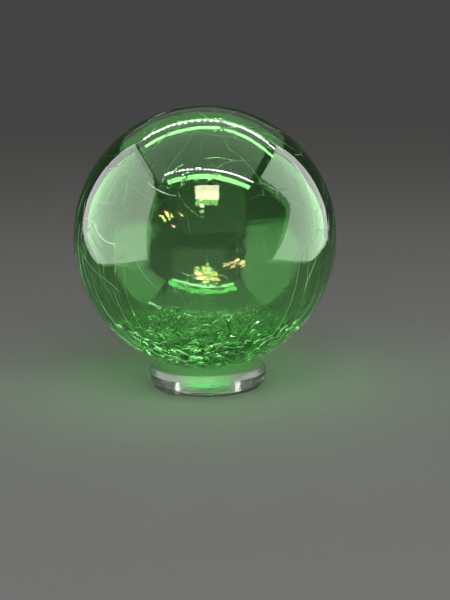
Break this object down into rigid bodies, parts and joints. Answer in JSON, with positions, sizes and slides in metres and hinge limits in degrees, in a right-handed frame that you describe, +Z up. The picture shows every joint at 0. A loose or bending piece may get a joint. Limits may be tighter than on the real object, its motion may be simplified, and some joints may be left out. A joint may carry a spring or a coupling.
{
  "type": "glass float ball",
  "caption": "Hollow green crackle-glass float ball, sealed with air inside, resting in a clear glass display ring.",
  "frame": {"origin": "centre of the display ring's underside, on the surface it stands on", "axes": "+Z up through the ring's and the ball's common axis; +X to the right and +Y away from the front view, though both pieces are round"},
  "size_m": [0.1, 0.1, 0.1072],
  "materials": {
    "green_glass": "clear emerald, crackled, polished skin",
    "clear_glass": "clear, polished"
  },
  "bodies": {
    "root": {"float_ball": "green_glass", "display_ring": "clear_glass"}
  },
  "joints": []
}
